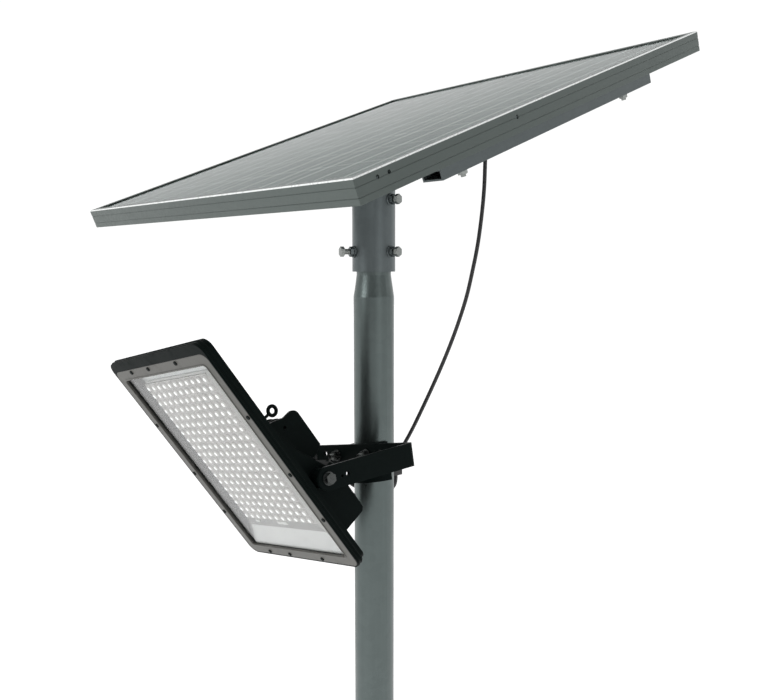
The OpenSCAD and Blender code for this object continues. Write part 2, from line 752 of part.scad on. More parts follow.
module lamp_housing() {
    color("#1b1e21") on_lamp() difference() {
        union() {
            round_plate(lamp_w, lamp_l, corner_r, rim_depth - 6);
            translate([0, 0, rim_depth - 6]) round_plate(lamp_w - 5, lamp_l - 5, corner_r - 2, 6);
            translate([0, bezel_y, 0]) round_plate(glass_w - 6, glass_l - 6, 8, cavity_z + back_wall);
            across(body_w) polygon(body_outline(0));
            for (s = [-1, 1]) cheek(s * cheek_x);
            for (x = fin_xs) fin(x);
            for (s = [-1, 1]) translate([s * (body_w / 2 - 1), -pivot_drop, pivot_depth])
                rotate([0, s * 90, 0]) cylinder(r = ear_r, h = arm_x - yoke_t - fit_gap - body_w / 2 + 1);
            translate([lamp_gland_x, -pivot_drop, gland_seat - 16.7]) cylinder(r = 11, h = 16.7);
        }
        // pocket for glass and gasket, then the front and rear cavities
        translate([0, bezel_y, bezel_t - 1]) round_plate(glass_w + 1, glass_l + 1, 8, 1 + lamp_glass_t + gasket_t);
        translate([0, bezel_y, bezel_t]) round_plate(glass_w - 10, glass_l - 10, 6, cavity_z - bezel_t);
        translate([0, bezel_y, -1]) round_plate(bezel_ow + 0.6, bezel_l + 0.6, corner_r - 2, bezel_t + 1);
        difference() {
            across(body_w - 2 * lamp_wall) polygon(body_outline(lamp_wall));
            for (s = [-1, 1]) translate([s * (body_w / 2 - 6), -pivot_drop, pivot_depth])
                rotate([0, 90, 0]) cylinder(r = 11, h = 13, center = true);
        }
        // pivot bolt holes
        for (s = [-1, 1]) translate([s * (body_w / 2), -pivot_drop, pivot_depth])
            rotate([0, 90, 0]) cylinder(r = pivot_r + thread_gap, h = 60, center = true);
        // rear hatch, its screws, cable entry and the hole in the near cheek
        translate([0, cover_y, body_depth - lamp_wall - 1]) round_plate(cover_w - 34, cover_l - 37, 4, 9);
        at_cover_screws() translate([0, 0, body_depth - lamp_wall - 1]) cylinder(r = tap_r, h = 9);
        translate([lamp_gland_x, -pivot_drop, gland_seat - 21.7]) cylinder(r = 5.2, h = 30);
        translate([cheek_x, 12.5, 52]) rotate([0, 90, 0]) cylinder(r = 2.4, h = 10, center = true);
        // eye bolt and bezel screws
        translate([eye_at[0], eye_at[1], rim_depth - 4]) cylinder(r = tap_r, h = 12);
        at_bezel_screws() translate([0, 0, bezel_t - 1]) cylinder(r = tap_r, h = 9);
    }
}

module at_bezel_screws() {
    edge_y = bezel_l / 2 - bezel_w / 2 + 3;
    for (sy = [-1, 1], x = [-78, -26, 52]) translate([x, bezel_y + sy * edge_y, 0]) children();
    for (sx = [-1, 1], y = [-95, -20, 70]) translate([sx * (bezel_ow / 2 - bezel_w / 2 + 3), y, 0]) children();
}

module at_cover_screws() {
    for (sx = [-1, 1], y = cover_screw_ys) translate([sx * cover_screw_x, y, 0]) children();
}

module bezel() {
    color("#8f918c") on_lamp() translate([0, bezel_y, 0]) difference() {
        round_plate(bezel_ow, bezel_l, corner_r - 2.3, bezel_t);
        translate([0, 0, -1]) round_plate(window_w, window_l, 5, bezel_t + 2);
        translate([0, -bezel_y, -1]) at_bezel_screws() cylinder(r = tap_r, h = bezel_t + 2);
    }
}

module bezel_screws() {
    color("#3a3d3f") on_lamp() at_bezel_screws() {
        cylinder(r = screw_r, h = bezel_t + 7);
        translate([0, 0, -1.2]) cylinder(r = 2.9, h = 1.2);
    }
}

module lamp_glass() {
    color("#dfe9e8", 0.35) on_lamp() translate([0, bezel_y, bezel_t])
        round_plate(glass_w, glass_l, 7.5, lamp_glass_t);
}

module gasket() {
    color("#2a2a2a") on_lamp() translate([0, bezel_y, bezel_t + lamp_glass_t]) difference() {
        round_plate(glass_w, glass_l, 7.5, gasket_t);
        translate([0, 0, -1]) round_plate(glass_w - 10, glass_l - 10, 6, gasket_t + 2);
    }
}

module lens_plate() {
    color("#f2f2f0") on_lamp() translate([0, lens_y, lens_z0]) round_plate(lens_w, lens_l, 5, lens_t);
}

module led_board() {
    color("#e8e8e4") on_lamp() translate([0, lens_y, lens_z0 + lens_t]) round_plate(lens_w + 6, lens_l + 6, 5, board_t);
}

module heat_spreader() {
    color("#b9bdbd") on_lamp() translate([0, bezel_y, spreader_z])
        round_plate(glass_w - 11, glass_l - 11, 5.5, spreader_t);
}

module at_cells() {
    for (i = [0:cell_count - 1])
        translate([(i - (cell_count - 1) / 2) * cell_pitch, cell_y, cell_depth]) rotate([90, 0, 0]) children();
}

module battery_cells() {
    color("#3f6f8f") on_lamp() at_cells() cylinder(r = cell_r, h = cell_l, center = true);
}

module battery_holder() {
    color("#2b2d2f") on_lamp() difference() {
        translate([0, cell_y, cavity_z]) linear_extrude(cell_depth + 10 - cavity_z)
            square([cell_count * cell_pitch + 4, 16], center = true);
        at_cells() cylinder(r = cell_r + fit_gap, h = cell_l + 1, center = true);
    }
}

module controller_board() {
    color("#2e6b45") on_lamp() translate([0, board_y, cavity_z + post_h]) linear_extrude(board_t)
        square([130, 44], center = true);
}

module board_posts() {
    color("#b9bdbd") on_lamp() for (sx = [-1, 1], sy = [-1, 1])
        translate([sx * 58, board_y + sy * 17, cavity_z]) cylinder(r = 3, h = post_h);
}

module rear_cover() {
    color("#1f2225") on_lamp() translate([0, 0, body_depth]) difference() {
        union() {
            translate([0, cover_y, 0]) round_plate(cover_w, cover_l, 5, box_depth);
            translate([0, cover_y + 14, box_depth]) round_plate(cover_w - 28, cover_l - 31, 5, pad_t);
            for (s = [-1, 1], y = [cover_foot + 7:16:cover_top - 6]) translate([s * cover_w / 2 - 2, y, 2]) cube([4, 4, box_depth - 4]);
        }
        translate([0, cover_y, -1]) round_plate(cover_w - 24, cover_l - 12, 4, box_depth - 2);
        at_cover_screws() translate([0, 0, -1]) cylinder(r = tap_r, h = box_depth + 2);
    }
}

module cover_screws() {
    color("#8d9494") on_lamp() at_cover_screws() translate([0, 0, body_depth]) {
        translate([0, 0, -2.8]) cylinder(r = screw_r, h = box_depth + 2.8);
        translate([0, 0, box_depth]) cylinder(r = 3.8, h = 2.2);
    }
}

module eye_bolt() {
    color("#1b1e21") on_lamp() translate([eye_at[0], eye_at[1], 0]) {
        translate([0, 0, cavity_z + 0.3]) cylinder(r = screw_r, h = eye_at[2] - eye_r - cavity_z);
        translate([0, 0, eye_seat]) cylinder(r = 4.5, h = 2.4);
        translate([0, 0, eye_at[2]]) rotate([0, 90, 0]) rotate_extrude() translate([eye_r, 0]) circle(eye_rod);
    }
}

module lamp_gland() {
    color("#16181a") on_lamp() translate([lamp_gland_x, -pivot_drop, gland_seat]) difference() {
        union() {
            translate([0, 0, -6]) cylinder(r = 5, h = 8);
            hex(17, 8);
            translate([0, 0, 8]) cylinder(r = 7, h = 7);
            translate([0, 0, 15]) cylinder(r1 = 7, r2 = 4.6, h = lamp_gland_tip - gland_seat - 15);
        }
        translate([0, 0, -7]) cylinder(d = cable_d + 0.2, h = 34);
    }
}

module pivot_bolts() {
    seat = arm_x + fit_gap + washer_t;
    color("#c3c7c7") on_lamp() for (s = [-1, 1]) translate([0, -pivot_drop, pivot_depth]) rotate([0, s * 90, 0]) {
        translate([0, 0, body_w / 2 - 12]) cylinder(r = pivot_r, h = seat - body_w / 2 + 12);
        translate([0, 0, seat]) hex(nut_af, head_h);
    }
}

module pivot_washers() {
    color("#b4b8b8") on_lamp() for (s = [-1, 1]) translate([0, -pivot_drop, pivot_depth]) rotate([0, s * 90, 0])
        translate([0, 0, arm_x + fit_gap]) difference() {
            cylinder(r = washer_r, h = washer_t);
            translate([0, 0, -1]) cylinder(r = pivot_r + 0.05, h = 4);
        }
}

base_plate();
base_gussets();
pole_tube();
pole_clip();
clip_screw();
sleeve();
sleeve_nuts();
set_bolts();
head_plate();
head_gussets();
cross_beam_low();
cross_beam_high();
rail_left();
rail_right();
rail_bolts();
rail_nuts();
frame_low();
frame_high();
frame_left();
frame_right();
corner_keys();
solar_glass();
cell_sheet();
backsheet();
junction_box();
junction_box_lid();
box_gland();
cable_upper();
u_bolt();
u_bolt_nuts();
u_bolt_washers();
saddle();
yoke();
yoke_clip();
yoke_clip_screw();
cable_middle();
cable_lower();
cable_tail();
lamp_housing();
bezel();
bezel_screws();
lamp_glass();
gasket();
lens_plate();
led_board();
heat_spreader();
battery_cells();
battery_holder();
controller_board();
board_posts();
rear_cover();
cover_screws();
eye_bolt();
lamp_gland();
pivot_bolts();
pivot_washers();
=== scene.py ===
import bpy, bmesh, json, math
from math import radians, sin, cos, pi
from mathutils import Matrix, Vector


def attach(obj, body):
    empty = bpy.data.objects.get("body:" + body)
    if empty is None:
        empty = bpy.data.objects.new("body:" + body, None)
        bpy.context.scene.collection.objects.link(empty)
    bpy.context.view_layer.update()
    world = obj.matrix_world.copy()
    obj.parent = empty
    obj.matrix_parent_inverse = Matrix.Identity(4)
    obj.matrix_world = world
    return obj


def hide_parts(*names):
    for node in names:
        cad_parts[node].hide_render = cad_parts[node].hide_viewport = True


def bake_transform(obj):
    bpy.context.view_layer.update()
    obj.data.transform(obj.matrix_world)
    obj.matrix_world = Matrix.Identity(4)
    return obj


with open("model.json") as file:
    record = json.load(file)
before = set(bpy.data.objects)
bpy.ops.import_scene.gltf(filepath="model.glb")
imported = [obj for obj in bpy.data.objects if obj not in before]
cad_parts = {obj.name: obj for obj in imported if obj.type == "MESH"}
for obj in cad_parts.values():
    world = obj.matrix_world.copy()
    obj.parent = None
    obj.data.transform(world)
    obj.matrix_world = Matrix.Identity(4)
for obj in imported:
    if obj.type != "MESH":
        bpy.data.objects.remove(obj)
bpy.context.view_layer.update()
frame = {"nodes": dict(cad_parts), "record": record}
nodes = frame["nodes"]

# ---- frames of the three tilted groups, in metres, as in the CAD ----
T = Matrix.Translation
ROLL, TILT, SLOPE = radians(11), radians(32.5), radians(21.5)
BRACKET_Z = 1.929
PIVOT_Y, YOKE_DIP = -0.1875, 0.0075
PIVOT_DEPTH, PIVOT_DROP = 0.0335, 0.0565
PANEL_SIDE, PANEL_SHIFT, PANEL_Z = 0.006, 0.018, 2.415
# bracket frame: x across, y away from the lamp
BRACKET = T((0, 0, BRACKET_Z)) @ Matrix.Rotation(-ROLL, 4, "Y")
# lamp frame: x across, y is depth behind the face, z is up the face
PIVOT = BRACKET @ T((0, PIVOT_Y, -YOKE_DIP)) @ Matrix.Rotation(TILT, 4, "X")
LAMP = PIVOT @ T((0, -PIVOT_DEPTH, PIVOT_DROP))
# panel frame: x across, y up the slope, z out of the glass
PANEL = T((-PANEL_SIDE, PANEL_SHIFT, PANEL_Z)) @ Matrix.Rotation(SLOPE, 4, "X")


def link(obj):
    bpy.context.collection.objects.link(obj)
    return obj


# ---- camera, from a perspective fit of the outline ----
AZ, CAM_PITCH = radians(48.9), radians(90 - 6.3)
CAM_DISTANCE, CAM_ASIDE, CAM_Z = 1.196, 0.0181, 2.215
# the sensor in millimetres, the focal length and the image's width in pixels
SENSOR_W, FOCAL, IMAGE_W = 36, 803, 772


def camera():
    """At the photo's viewing angle."""
    data = bpy.data.cameras.new("camera")
    data.sensor_width = SENSOR_W
    data.lens = SENSOR_W * FOCAL / IMAGE_W
    cam = link(bpy.data.objects.new("camera", data))
    cam.location = (CAM_DISTANCE * sin(AZ) + CAM_ASIDE * cos(AZ),
                    -CAM_DISTANCE * cos(AZ) + CAM_ASIDE * sin(AZ), CAM_Z)
    cam.rotation_euler = (CAM_PITCH, 0, AZ)
    bpy.context.scene.camera = cam


camera()


# ---- materials ----
class Mat:
    """A Principled material with helpers for procedural detail; coordinates are object space."""

    def __init__(self, name, color, rough, metal=0.0):
        self.m = bpy.data.materials.new(name)
        self.m.use_nodes = True
        self.n = self.m.node_tree.nodes
        self.l = self.m.node_tree.links
        self.b = self.n["Principled BSDF"]
        self.set("Base Color", (*color, 1))
        self.set("Roughness", rough)
        self.set("Metallic", metal)
        self.co = self.n.new("ShaderNodeTexCoord").outputs["Object"]
        self.height = None

    def rounded(self, radius):
        """Edges shade as if they had a small radius."""
        t = self.n.new("ShaderNodeBevel")
        t.samples = 4  # enough at a radius of about 1 mm
        t.inputs["Radius"].default_value = radius
        self.height = t.outputs[0]
        return self

    def set(self, k, v):
        self.b.inputs[k].default_value = v

    def mapped(self, matrix=None, scale=(1, 1, 1)):
        """Coordinates in the frame of matrix, then scaled."""
        out = self.co
        if matrix is not None:
            a = self.n.new("ShaderNodeMapping")
            a.vector_type = "TEXTURE"
            a.inputs["Location"].default_value = matrix.to_translation()
            a.inputs["Rotation"].default_value = matrix.to_euler()
            self.l.new(out, a.inputs["Vector"])
            out = a.outputs[0]
        b = self.n.new("ShaderNodeMapping")
        b.inputs["Scale"].default_value = scale
        self.l.new(out, b.inputs["Vector"])
        return b.outputs[0]

    def noise(self, scale, detail=3, rough=0.55, co=None):
        t = self.n.new("ShaderNodeTexNoise")
        t.inputs["Scale"].default_value = scale
        t.inputs["Detail"].default_value = detail
        t.inputs["Roughness"].default_value = rough
        self.l.new(co if co is not None else self.co, t.inputs["Vector"])
        return t.outputs["Fac"]

    def voronoi(self, scale):
        """A random colour for each cell."""
        t = self.n.new("ShaderNodeTexVoronoi")
        t.inputs["Scale"].default_value = scale
        self.l.new(self.co, t.inputs["Vector"])
        return t.outputs["Color"]

    def ramp(self, src, stops):
        """A colour ramp; stops are (position, grey or colour)."""
        r = self.n.new("ShaderNodeValToRGB")
        e = r.color_ramp.elements
        while len(e) < len(stops):
            e.new(0.5)
        for x, (p, c) in zip(e, stops):
            x.position = p
            x.color = (*c, 1) if isinstance(c, tuple) else (c, c, c, 1)
        self.l.new(src, r.inputs[0])
        return r.outputs[0]

    def mix(self, a, b, fac):
        """Colour a to b by fac; each is a value or another node's output."""
        x = self.n.new("ShaderNodeMix")
        x.data_type = "RGBA"
        factor, first, second, result = x.inputs[0], x.inputs[6], x.inputs[7], x.outputs[2]
        for sock, v in ((factor, fac), (first, a), (second, b)):
            if isinstance(v, (int, float)):
                sock.default_value = v
            elif isinstance(v, tuple):
                sock.default_value = (*v, 1)
            else:
                self.l.new(v, sock)
        return result

    def times(self, src, k):
        x = self.n.new("ShaderNodeMath")
        x.operation = "MULTIPLY"
        self.l.new(src, x.inputs[0])
        x.inputs[1].default_value = k
        return x.outputs[0]

    def to(self, name, src):
        self.l.new(src, self.b.inputs[name])
        return self

    def bump(self, src, strength=0.2, distance=0.001):
        b = self.n.new("ShaderNodeBump")
        b.inputs["Strength"].default_value = strength
        b.inputs["Distance"].default_value = distance
        self.l.new(src, b.inputs["Height"])
        if self.height is not None:
            self.l.new(self.height, b.inputs["Normal"])
        self.height = b.outputs[0]
        self.l.new(self.height, self.b.inputs["Normal"])
        return self


def shade(c, k):
    """Colour c made k times as bright."""
    return tuple(min(1, x * k) for x in c)


def steel(name, color, rough, metal=0.9, streak=None):
    """Hot-dip galvanised steel: spangle, clouding, lengthwise streaks and dull spots."""
    m = Mat(name, color, rough, metal)
    cloud = m.noise(9, 5, 0.6)
    spangle = m.voronoi(90)
    fine = m.noise(420, 4, 0.6)
    run = m.noise(60, 4, 0.6, m.mapped(streak, (1, 1, 0.03)))
    c = m.mix(shade(color, 0.86), shade(color, 1.14), cloud)
    c = m.mix(c, m.ramp(spangle, [(0.2, shade(color, 0.85)), (0.8, shade(color, 1.15))]), 0.25)
    c = m.mix(c, m.ramp(run, [(0.35, shade(color, 0.8)), (0.6, color)]), 0.35)
    spots = m.ramp(m.noise(34, 6, 0.7), [(0.60, 0.0), (0.72, 1.0)])
    c = m.mix(c, shade(color, 0.7), m.times(spots, 0.35))
    m.to("Base Color", c)
    m.to("Roughness", m.ramp(m.mix(cloud, fine, 0.4), [(0.3, rough - 0.1), (0.7, rough + 0.14)]))
    return m.bump(fine, 0.10, 0.0006).bump(m.noise(38, 3), 0.10, 0.002).m


def aluminium(name, color, rough, matrix, scale):
    """Extruded anodised aluminium with die lines along the section and light scuffs."""
    m = Mat(name, color, rough, 0.85).rounded(0.0008)
    line = m.noise(300, 4, 0.6, m.mapped(matrix, scale))
    cloud = m.noise(14, 4)
    c = m.mix(shade(color, 0.88), shade(color, 1.12), line)
    c = m.mix(c, m.mix(shade(color, 0.85), shade(color, 1.1), cloud), 0.4)
    scuff = m.ramp(m.noise(120, 8, 0.75), [(0.62, 0.0), (0.70, 1.0)])
    c = m.mix(c, shade(color, 1.3), m.times(scuff, 0.25))
    m.to("Base Color", c)
    m.to("Roughness", m.ramp(line, [(0.3, rough - 0.08), (0.7, rough + 0.12)]))
    return m.bump(line, 0.12, 0.0005).m


def coat(name, color, rough, dust, spec):
    """Powder coat: orange-peel bump and dust in patches."""
    m = Mat(name, color, rough).rounded(0.0012)
    m.set("Specular IOR Level", spec)
    peel = m.noise(900, 2, 0.5)
    cloud = m.noise(16, 5, 0.65)
    dusty = m.ramp(m.noise(55, 6, 0.7), [(0.52, 0.0), (0.75, 1.0)])
    c = m.mix(shade(color, 0.8), shade(color, 1.25), cloud)
    c = m.mix(c, (0.20, 0.205, 0.20), m.times(dusty, dust * 0.35))
    m.to("Base Color", c)
    m.to("Roughness", m.ramp(m.mix(cloud, dusty, 0.4), [(0.2, rough - 0.08), (0.8, rough + 0.2)]))
    return m.bump(peel, 0.22, 0.0003).bump(m.noise(70, 3), 0.08, 0.0015).m


def zinc(name, color, rough):
    """Zinc-plated hardware: faint turning marks and a slight stain."""
    m = Mat(name, color, rough, 1.0).rounded(0.0006)
    n = m.noise(260, 5, 0.65)
    stain = m.ramp(m.noise(150, 5, 0.7), [(0.5, 0.0), (0.8, 1.0)])
    c = m.mix(shade(color, 0.85), shade(color, 1.12), n)
    m.to("Base Color", m.mix(c, shade(color, 0.45), m.times(stain, 0.35)))
    m.to("Roughness", m.ramp(n, [(0.3, rough - 0.1), (0.7, rough + 0.18)]))
    return m.bump(n, 0.15, 0.0004).m


def plastic(name, color, rough, grain, spec=0.5):
    """Moulded plastic with a spark-eroded grain."""
    m = Mat(name, color, rough)
    m.set("Specular IOR Level", spec)
    g = m.noise(grain, 2, 0.6)
    cloud = m.noise(30, 4)
    m.to("Base Color", m.mix(shade(color, 0.85), shade(color, 1.2), cloud))
    m.to("Roughness", m.ramp(cloud, [(0.3, rough - 0.07), (0.7, rough + 0.12)]))
    return m.bump(g, 0.25, 0.0003).m


def clear(name, color, rough, ior, spec=0.5):
    """Glass: clear, with faint smears and dust."""
    m = Mat(name, color, rough)
    m.set("Transmission Weight", 1.0)
    m.set("IOR", ior)
    m.set("Specular IOR Level", spec)
    smear = m.ramp(m.noise(22, 5, 0.65), [(0.4, rough * 0.6), (0.75, min(1, rough * 1.7 + 0.05))])
    m.to("Roughness", smear)
    m.to("Base Color", m.mix(color, shade(color, 0.9), m.noise(60, 4)))
    return m.bump(m.noise(500, 2), 0.03, 0.0002).m


GALV = (0.118, 0.142, 0.139)
HEAD = (0.122, 0.141, 0.145)
ALU = (0.112, 0.132, 0.125)
BLACK = (0.0040, 0.0068, 0.0064)
# z of this frame runs along the rails, as their rolling streaks do
RAIL = PANEL @ Matrix.Rotation(pi / 2, 4, "X")
# one material for each slot of the record, and zinc_dark
M = {
    "galvanised": steel("galvanised", GALV, 0.33),
    "head_steel": steel("head_steel", HEAD, 0.36),
    "rail_steel": steel("rail_steel", (0.10, 0.118, 0.12), 0.45, 0.6, RAIL),
    "zinc_hardware": zinc("zinc_hardware", (0.27, 0.285, 0.275), 0.32),
    "zinc_dark": zinc("zinc_dark", (0.10, 0.107, 0.104), 0.26),
    "frame_aluminium": aluminium("frame_aluminium", ALU, 0.38, PANEL, (1, 1, 1)),
    "panel_glass": clear("panel_glass", (0.86, 0.95, 0.93), 0.06, 1.045, 0.2),
    "backsheet_white": plastic("backsheet_white", (0.72, 0.74, 0.73), 0.45, 600),
    "black_plastic": plastic("black_plastic", (0.015, 0.015, 0.016), 0.5, 1400),
    "cable_jacket": plastic("cable_jacket", (0.012, 0.012, 0.013), 0.38, 2200),
    "black_powder_coat": coat("black_powder_coat", BLACK, 0.44, 0.02, 0.03),
    "lamp_casting": coat("lamp_casting", BLACK, 0.44, 0.02, 0.03),
    "bezel_grey": coat("bezel_grey", (0.088, 0.087, 0.079), 0.42, 0.10, 0.3),
    "lamp_glass": clear("lamp_glass", (0.97, 0.985, 0.98), 0.03, 1.40),
    "gasket_rubber": plastic("gasket_rubber", (0.05, 0.05, 0.05), 0.7, 800),
    "lens_acrylic": plastic("lens_acrylic", (0.50, 0.475, 0.46), 0.25, 500),
    "board_white": plastic("board_white", (0.75, 0.75, 0.73), 0.35, 700),
    "spreader_aluminium": aluminium("spreader_aluminium", (0.6, 0.61, 0.61), 0.35, LAMP, (1, 1, 0.03)),
    "cell_wrap": plastic("cell_wrap", (0.03, 0.12, 0.25), 0.3, 300),
    "board_green": plastic("board_green", (0.02, 0.11, 0.05), 0.35, 900),
    "cell_blue": plastic("cell_blue", (0.20, 0.235, 0.225), 0.35, 600, 0.08),
}
# hardware of the bracket and the lamp is darker than the sleeve's bolts
DARK_HARDWARE = ("u_bolt", "u_bolt_nuts", "u_bolt_washers", "pivot_bolts", "pivot_washers", "clip_screw",
                 "yoke_clip_screw", "cover_screws")
slot_of = {s["node"]: s["material_slot"] for s in frame["record"]["subparts"]}
for name, obj in nodes.items():
    obj.data.materials.clear()
    obj.data.materials.append(M["zinc_dark" if name in DARK_HARDWARE else slot_of[name]])


# ---- mesh helpers ----
def mesh_obj(name, bm, mat, body, matrix=None, smooth=True, bevel=0.0):
    """An object from bm, moved by matrix, that rides on body; mat is a material or a key of M."""
    if matrix is not None:
        bm.transform(matrix)
    me = bpy.data.meshes.new(name)
    bmesh.ops.recalc_face_normals(bm, faces=bm.faces)
    bm.to_mesh(me)
    bm.free()
    for p in me.polygons:
        p.use_smooth = smooth
    o = link(bpy.data.objects.new(name, me))
    me.materials.append(M[mat] if isinstance(mat, str) else mat)
    if bevel:
        b = o.modifiers.new("bevel", "BEVEL")
        b.width = bevel
        b.segments = 2
        b.limit_method = "ANGLE"
        b.angle_limit = radians(40)
    if smooth:
        me.set_sharp_from_angle(angle=radians(35))
    if body:
        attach(o, body)
    return o


def smooth_path(pts, n):
    """Points of a smooth curve through pts, n to a span."""
    out = []
    last = len(pts) - 1
    for i in range(last):
        a, b, c, d = pts[max(0, i - 1)], pts[i], pts[i + 1], pts[min(last, i + 2)]
        for k in range(n):
            t = k / n
            out.append(0.5 * (2 * b + (c - a) * t + (2 * a - 5 * b + 4 * c - d) * t * t
                              + (3 * b - a - 3 * c + d) * t ** 3))
    return out + [pts[-1]]


def sweep(bm, path, r, sides):
    """A round tube along path with closed ends; r is a radius or a function of the index."""
    last = len(path) - 1
    ts = [(path[min(i + 1, last)] - path[max(i - 1, 0)]).normalized() for i in range(last + 1)]
    u = ts[0].cross(Vector((0, 1, 0)) if abs(ts[0].z) > 0.9 else Vector((0, 0, 1))).normalized()
    rings = []
    for i, (p, t) in enumerate(zip(path, ts)):
        u = (u - t * u.dot(t)).normalized()
        v = t.cross(u)
        rr = r(i) if callable(r) else r
        rings.append([bm.verts.new(p + rr * (cos(2 * pi * k / sides) * u + sin(2 * pi * k / sides) * v))
                      for k in range(sides)])
    for a, b in zip(rings, rings[1:]):
        for k in range(sides):
            bm.faces.new((a[k], a[(k + 1) % sides], b[(k + 1) % sides], b[k]))
    bm.faces.new(rings[0][::-1])
    bm.faces.new(rings[-1])


# ---- cables; the routes are in millimetres, as in the CAD ----
MM = 0.001
CABLE_R, CABLE_SIDES, SPAN_STEPS = 0.003, 20, 5
ROUTE_UPPER = [
    (67.4, 133.8, 2444), (77, 133.8, 2444), (88, 133.8, 2441), (95, 133.5, 2433), (99, 133, 2415),
    (100, 132.5, 2390), (99, 132, 2366), (98, 131.5, 2323), (96, 129, 2283), (92, 125.5, 2240),
    (86, 121, 2200), (78, 117, 2161), (67, 110, 2119), (55, 100.5, 2077), (40, 90, 2033),
    (20, 79.5, 1984), (8, 71, 1953), (2, 61, 1932), (0, 51, 1918), (0, 45.3, 1909),
    (0, 44, 1905), (0, 44, 1901.8)]
ROUTE_MIDDLE = [
    (0, 44, 1884.8), (0, 44, 1876), (-3, 43, 1866), (-12, 40, 1859), (-26, 32, 1856),
    (-38, 18, 1858), (-44, 0, 1864), (-47, -14, 1875), (-49, -23, 1886),
    (-50, -30, 1892.3), (-50, -35.4, 1893)]
# in the bracket's frame, over the lamp's swing and into its gland
ROUTE_LOWER = [
    (-55.8, -48.3, -25.6), (-55.8, -53.5, -25.4), (-55, -60, -23), (-54, -66, -17.5), (-53, -70.2, -10),
    (-52, -72.3, -1.5), (-51, -73.9, 7), (-49.5, -77.2, 15.5), (-48, -82.9, 23.5), (-46, -90.5, 29.6),
    (-44, -99.5, 33.4), (-42, -109, 35), (-40.6, -117.6, 34.4), (-40.1, -124.4, 32.3), (-40, -129, 29.8),
    (-40, -136.5, 25), (-40, -144, 20.2)]


def cable(name, route, nodes_replaced, frame_matrix=Matrix()):
    """One stretch of the cable, swept along route in place of the nodes it replaces."""
    path = smooth_path([frame_matrix @ (Vector(p) * MM) for p in route], SPAN_STEPS)
    bm = bmesh.new()
    sweep(bm, path, CABLE_R, CABLE_SIDES)
    o = mesh_obj(name + "_jacket", bm, "cable_jacket", None)
    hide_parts(*nodes_replaced)
    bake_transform(o)


cable("cable_upper", ROUTE_UPPER, ["cable_upper"])
cable("cable_middle", ROUTE_MIDDLE, ["cable_middle"])
cable("cable_lower", ROUTE_LOWER, ["cable_lower", "cable_tail"], BRACKET)


# ---- solar cells ----
def solar_cells():
    """Half-cut cells with their fingers, and the busbars and ribbons over them."""
    cell = Mat("cell", (0.030, 0.042, 0.050), 0.28)
    cell.set("Specular IOR Level", 0.0)
    tone = cell.noise(14, 4, 0.6)
    finger = cell.noise(900, 2, 0.5, cell.mapped(PANEL, (0.02, 1, 0.02)))
    c = cell.mix((0.068, 0.090, 0.084), (0.092, 0.120, 0.112), tone)
    cell.to("Base Color", cell.mix(c, (0.20, 0.235, 0.225), cell.times(finger, 0.30)))
    cell.to("Roughness", cell.ramp(tone, [(0.3, 0.22), (0.7, 0.40)]))
    bus = Mat("busbar", (0.62, 0.65, 0.64), 0.45, 0.0)
    bus.to("Base Color", bus.mix((0.52, 0.55, 0.54), (0.72, 0.75, 0.74), bus.noise(220)))
    cols, rows = 4, 9
    cell_w, cell_h, cell_z = 0.150, 0.0685, -0.00498
    pitch_x, pitch_y = cell_w + 0.003, cell_h + 0.0025
    half_w, half_h, corner = cell_w / 2, cell_h / 2, 0.007
    # every second row is the other half of a cut cell, with its clipped corners below
    upper = [(-half_w, -half_h), (half_w, -half_h), (half_w, half_h - corner), (half_w - corner, half_h),
             (-half_w + corner, half_h), (-half_w, half_h - corner)]
    lower = [(u, -v) for u, v in upper][::-1]
    bm = bmesh.new()
    for i in range(cols):
        x = (i - (cols - 1) / 2) * pitch_x
        for j in range(rows):
            y = (j - (rows - 1) / 2) * pitch_y
            outline = lower if j % 2 else upper
            bm.faces.new([bm.verts.new((x + u, y + v, cell_z)) for u, v in outline])
    mesh_obj("solar_cells", bm, cell.m, "head", PANEL, smooth=False)

    bus_z = cell_z + 0.00004
    bus_end, bus_half, bus_gap = rows * pitch_y / 2 + 0.006, 0.0009, 0.050
    ribbon_end, ribbon_half = 0.30, 0.0025

    def strip(x0, x1, y0, y1):
        bm.faces.new([bm.verts.new((x, y, bus_z)) for x, y in ((x0, y0), (x1, y0), (x1, y1), (x0, y1))])

    bm = bmesh.new()
    for i in range(cols):
        for k in (-1, 0, 1):
            x = (i - (cols - 1) / 2) * pitch_x + k * bus_gap
            strip(x - bus_half, x + bus_half, -bus_end, bus_end)
    for y in (-bus_end, bus_end):
        strip(-ribbon_end, ribbon_end, y - ribbon_half, y + ribbon_half)
    mesh_obj("busbars", bm, bus.m, "head", PANEL, smooth=False)


solar_cells()


def painted_glint_edges():
    """Bright chamfer strips along the frame's top outer edges: a painted highlight, the glint of the
    rounded edges.
    """
    # near-white metal that stands in for the edge glint: a painted highlight
    glint = Mat("painted_glint_edge", (0.86, 0.88, 0.87), 0.3, 0.6)
    glint.to("Base Color", glint.mix((0.74, 0.77, 0.76), (0.95, 0.96, 0.95), glint.noise(90, 4)))
    glint.to("Roughness", glint.ramp(glint.noise(240, 3), [(0.3, 0.22), (0.7, 0.40)]))
    half_w, half_l, cut, lift = 0.3225, 0.335, 0.0013, 0.00015
    # (inwards, up) from the frame's sharp edge
    section = ((cut, lift), (-lift, lift), (-lift, -cut))
    corners = [(-half_w, -half_l), (half_w, -half_l), (half_w, half_l), (-half_w, half_l)]

    def inset(v, d):
        return v - d * (1 if v > 0 else -1)

    bm = bmesh.new()
    for start, end in zip(corners, corners[1:] + corners[:1]):
        a, b = ([bm.verts.new((inset(x, d), inset(y, d), z)) for d, z in section] for x, y in (start, end))
        for i in range(len(section) - 1):
            bm.faces.new((a[i], b[i], b[i + 1], a[i + 1]))
    mesh_obj("painted_glint_edges", bm, glint.m, "head", PANEL, smooth=False)


painted_glint_edges()


